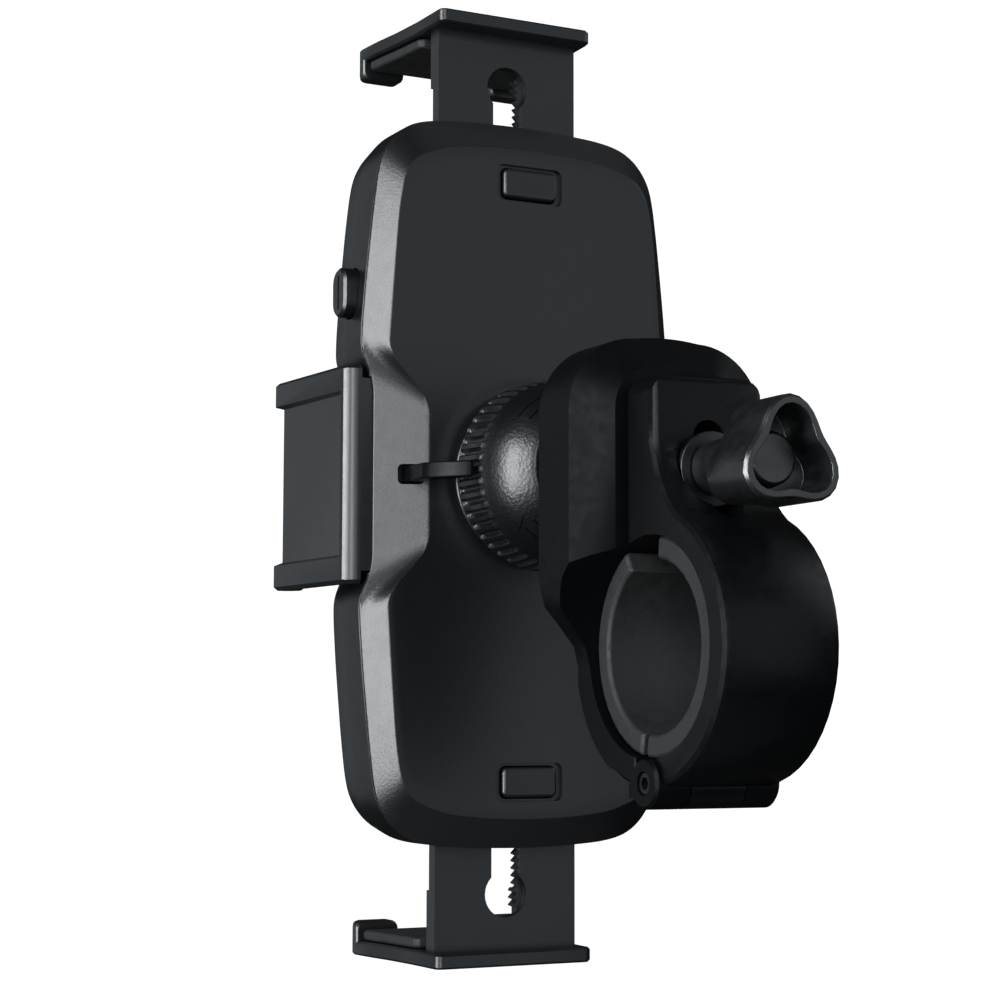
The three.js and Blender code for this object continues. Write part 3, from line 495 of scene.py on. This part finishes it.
def ball_nut():
    count = GROOVES * GROOVE_STEPS
    lip = [
        (14.35, 8.6, 0), (16.6, 8.6, 0), (17.1, 8.75, 0), (17.35, 9.1, 0), (17.55, 9.4, 0), (17.66, 9.65, 0),
    ]
    grooved = [
        (17.7, 9.8, 0.5), (17.73, 10.05, 0.85), (17.74, 10.4, 1.0), (17.72, 11.5, 1.0),
        (17.6, 13.5, 1.0), (17.4, 15.5, 1.0), (17.25, 16.4, 0.8), (17.1, 16.9, 0.35),
    ]
    shoulder = [
        (16.85, 17.25, 0), (16.55, 17.9, 0), (16.3, 18.8, 0), (15.85, 20.2, 0),
        (15.2, 21.6, 0), (14.4, 22.9, 0), (13.5, 24.1, 0), (12.5, 25.2, 0),
        (11.6, 26.1, 0), (11.0, 26.7, 0), (10.6, 26.95, 0), (10.25, 26.98, 0),
    ]
    mouth = [(10.02, 26.8, 0), (10.0, 26.4, 0), (10.3, 25, 0), (12.2, 22.4, 0), (14.35, 20.8, 0)]
    profile = lip + grooved + shoulder + mouth  # radius, Y and share of the groove's depth
    rings = []
    for r, y, cut in profile:
        ring = []
        for i in range(count):
            phase = (i % GROOVE_STEPS) / GROOVE_STEPS
            notch = math.sqrt(max(0.0, 1 - ((phase - 0.5) / GROOVE_HALF) ** 2))
            radius = r - GROOVE_DEPTH * cut * notch
            angle = 2 * math.pi * i / count
            ring.append(row(radius * math.cos(angle), y, radius * math.sin(angle)))
        rings.append(ring)
    mesh = grid_mesh("ball_nut", rings, "loop", lambda k, i: 1 if k in GRIP_RINGS else 0)
    obj = make_object("nut_knurled", mesh, ("leather", "satin"), "ball_nut", ("ball_nut",))
    cut_with(obj, [turn_arrow(start) for start in ARROW_STARTS])
    smooth(obj.data, 34)


DOME = [  # radius and Y down the side of the nut's dome
    (16.55, 17.9), (16.3, 18.8), (15.85, 20.2), (15.2, 21.6), (14.4, 22.9),
    (13.5, 24.1), (12.5, 25.2), (11.6, 26.1), (11.0, 26.7),
]
ARROW_R = 14.1
LINE_HALF, LINE_DEPTH, LINE_TOP = 0.13, 0.25, 0.5  # the line's half width, its depth, its cutter's height
SLOPE_REACH = 0.8  # how far each way along the dome its slope is measured, mm
PIECE = 0.8  # about the length of the pieces that an arrow's line is cut into, mm
BAND_LOW, BAND_HIGH, HEAD_WIDER = 4.6, 7.0, 1.3  # along the dome's side from its shoulder, mm


def along_dome(walk):
    """The point of the dome's side that lies the given distance from its shoulder: radius and Y."""
    for (r0, y0), (r1, y1) in zip(DOME, DOME[1:]):
        length = math.dist((r0, y0), (r1, y1))
        if walk <= length or (r1, y1) == DOME[-1]:
            return r0 + (r1 - r0) * walk / length, y0 + (y1 - y0) * walk / length
        walk -= length


def dome_point(turn, walk, lift):
    """A point over the dome: turn and walk in mm round and along it, lifted off the surface in mm."""
    r, y = along_dome(walk)
    (ra, ya), (rb, yb) = along_dome(walk - SLOPE_REACH), along_dome(walk + SLOPE_REACH)
    length = math.dist((ra, ya), (rb, yb))
    r += lift * (yb - ya) / length
    y += lift * (ra - rb) / length
    angle = turn / ARROW_R
    return row(r * math.cos(angle), y, r * math.sin(angle))


def offset_path(path, amount):
    """The closed path moved sideways by the amount, with mitred corners."""
    out = []
    for i, (x, y) in enumerate(path):
        (xa, ya), (xb, yb) = path[i - 1], path[(i + 1) % len(path)]
        la, lb = math.dist((x, y), (xa, ya)), math.dist((x, y), (xb, yb))
        na = ((y - ya) / la, (xa - x) / la)
        nb = ((yb - y) / lb, (x - xb) / lb)
        scale = amount / (1 + na[0] * nb[0] + na[1] * nb[1])
        out.append((x + (na[0] + nb[0]) * scale, y + (na[1] + nb[1]) * scale))
    return out


def turn_arrow(start, span=52, head=7):
    """A curved arrow's outline as a thin closed strip that stands through the dome's surface."""
    per_degree = ARROW_R * math.pi / 180
    u0, u1, tip = start * per_degree, (start + span) * per_degree, (start + span + head) * per_degree
    middle = (BAND_LOW + BAND_HIGH) / 2
    corners = [(u0, BAND_LOW), (u1, BAND_LOW), (u1, BAND_LOW - HEAD_WIDER), (tip, middle),
               (u1, BAND_HIGH + HEAD_WIDER), (u1, BAND_HIGH), (u0, BAND_HIGH)]
    path = []
    for (xa, ya), (xb, yb) in zip(corners, corners[1:] + corners[:1]):
        pieces = max(1, round(math.dist((xa, ya), (xb, yb)) / PIECE))
        path += [(xa + (xb - xa) * k / pieces, ya + (yb - ya) * k / pieces) for k in range(pieces)]
    inner, outer = offset_path(path, -LINE_HALF), offset_path(path, LINE_HALF)
    walls = ((outer, -LINE_DEPTH), (outer, LINE_TOP), (inner, LINE_TOP), (inner, -LINE_DEPTH))
    rings = [[dome_point(u, v, lift) for u, v in line] for line, lift in walls]
    return cutter("arrow", grid_mesh("arrow", rings, "loop"))


ball_nut()


# ---------------------------------------------------------------- pieces refined from the CAD shapes
def clamp_zone(centre, normal):
    """Grain on the faces that slope towards +Y at the clamp block's near end."""
    y = centre.y / MM + BORE[1]
    return 1 if y > 54.8 and abs(normal.y) < 0.985 and normal.y > 0.1 else 0


def arm_zone(centre, normal):
    """Grain on the panel of the arm's outer side."""
    y = centre.y / MM + BORE[1]
    z = centre.z / MM + BORE[2]
    return 1 if abs(z) < 16.2 and y < -5 and abs(normal.x) > 0.9 and abs(centre.x) > 0.0352 else 0


def jaw_zone(centre, normal):
    """Grain everywhere but on the jaw's two ends."""
    return 0 if abs(normal.x) > 0.5 else 1


refine("clamp_base", ("clamp", "clamp_grain"), 0.4, zone=clamp_zone)
refine("clamp_jaw", ("jaw", "jaw_band"), 0.35, zone=jaw_zone)
for liner in ("base_liner", "jaw_liner"):
    refine(liner, ("rubber",), 0.25)
refine("ball_stud", ("gloss",), 0.3)
refine("insert_nut", ("steel",), 0.2, 2)
refine("hinge_pin", ("dark_steel",), 0.15, 2)
refine("flat_washer", ("dark_steel",), 0.2)
refine("clamp_knob", ("knob",), 0.35)
refine("clamp_bolt", ("steel",), 0.15, 2)
refine("socket_collet", ("seat",), 0.2, 2)
refine("ball_seat", ("seat",), 0)
refine("seat_washer", ("rubber",), 0)
refine("pinion_axle", ("steel",), 0.15, 2)
refine("arm_pinion", ("seat",), 0)
refine("front_pad", ("rubber",), 0.3)
for side in ("left", "right"):
    refine(side + "_arm", ("arm", "panel"), 0.3, zone=arm_zone)
    refine(side + "_arm_pad", ("rubber",), 0.2)
for end in ("top", "bottom"):
    refine(end + "_bracket", ("bracket",), 0.16, 2)
    refine(end + "_hook_pad", ("rubber",), 0.3)
    refine(end + "_release_button", ("button",), 0.25)
refine("side_release_button", ("button",), 0.3)
refine("lock_pawl", ("pawl",), 0.25)


# ---------------------------------------------------------------- floor and light
def shell_of_light(name, mesh, strength):
    """A plain white surface that shows behind and under the object but throws no light on it."""
    obj = bpy.data.objects.new(name, mesh)
    bpy.context.collection.objects.link(obj)
    mat = bpy.data.materials.new(name + "_white")
    mat.use_nodes = True
    shader = mat.node_tree.nodes["Principled BSDF"]
    shader.inputs["Roughness"].default_value = 0.9
    shader.inputs["Base Color"].default_value = (0.9, 0.9, 0.9, 1)
    shader.inputs["Emission Color"].default_value = (1, 1, 1, 1)
    shader.inputs["Emission Strength"].default_value = strength
    mesh.materials.append(mat)
    obj.visible_glossy = False
    obj.visible_diffuse = False
    obj.visible_shadow = False


FLOOR_DROP = 0.2  # the object hangs on a bar, and its lower hook swings and slides below its rest height


def stage():
    low = cad_box[0][2] - FLOOR_DROP
    bm = bmesh.new()
    bmesh.ops.create_grid(bm, x_segments=1, y_segments=1, size=3.5)
    for vertex in bm.verts:
        vertex.co.z = low
    floor = bpy.data.meshes.new("floor")
    bm.to_mesh(floor)
    bm.free()
    shell_of_light("floor", floor, 1.0)
    bm = bmesh.new()
    bmesh.ops.create_icosphere(bm, subdivisions=3, radius=4.0)
    dome = bpy.data.meshes.new("backdrop")
    bm.to_mesh(dome)
    bm.free()
    shell_of_light("backdrop", dome, 1.0)


stage()


def softbox(name, place, target, size, power, colour=(1, 1, 1)):
    data = bpy.data.lights.new(name, "AREA")
    data.shape = "RECTANGLE"
    data.size, data.size_y = size
    data.energy = power
    data.color = colour
    lamp = bpy.data.objects.new(name, data)
    direction = Vector(target) - Vector(place)
    turn = direction.to_track_quat("-Z", "Y").to_matrix().to_4x4()
    lamp.matrix_world = Matrix.Translation(Vector(place)) @ turn
    lamp.visible_camera = False
    bpy.context.collection.objects.link(lamp)


softbox("key_left", (0.85, 0.17, 0.10), (0, -0.06, 0.03), (0.34, 0.9), 18, (0.95, 0.98, 1))
softbox("key_near_camera", (0.46, 0.83, 0.14), (0.02, -0.06, 0.03), (0.24, 0.8), 7, (0.93, 0.97, 1))
softbox("panel_behind", (-0.6, 1.2, 0.15), (0, -0.03, 0.03), (1.0, 1.2), 3.1, (0.8, 0.91, 1))
softbox("panel_before", (0.5, -1.1, 0.15), (0, -0.05, 0.03), (0.8, 1.0), 1.1, (0.85, 0.94, 1))
softbox("far_side_fill", (-0.9, 0.25, 0.5), (0, -0.03, 0.03), (0.6, 0.6), 1.6, (0.88, 0.95, 1))
softbox("top_soft", (-0.45, 0.1, 1.1), (0, -0.03, 0.03), (0.8, 0.8), 0.5)
softbox("low_soft", (-0.2, 0.3, -0.9), (0, -0.03, 0.03), (0.8, 0.8), 0.3)

world = bpy.data.worlds.new("studio")
bpy.context.scene.world = world
world.use_nodes = True
backdrop = world.node_tree.nodes["Background"]
backdrop.inputs["Color"].default_value = (0.95, 0.97, 1, 1)
backdrop.inputs["Strength"].default_value = 0.02
bpy.context.scene.view_settings.view_transform = "Standard"
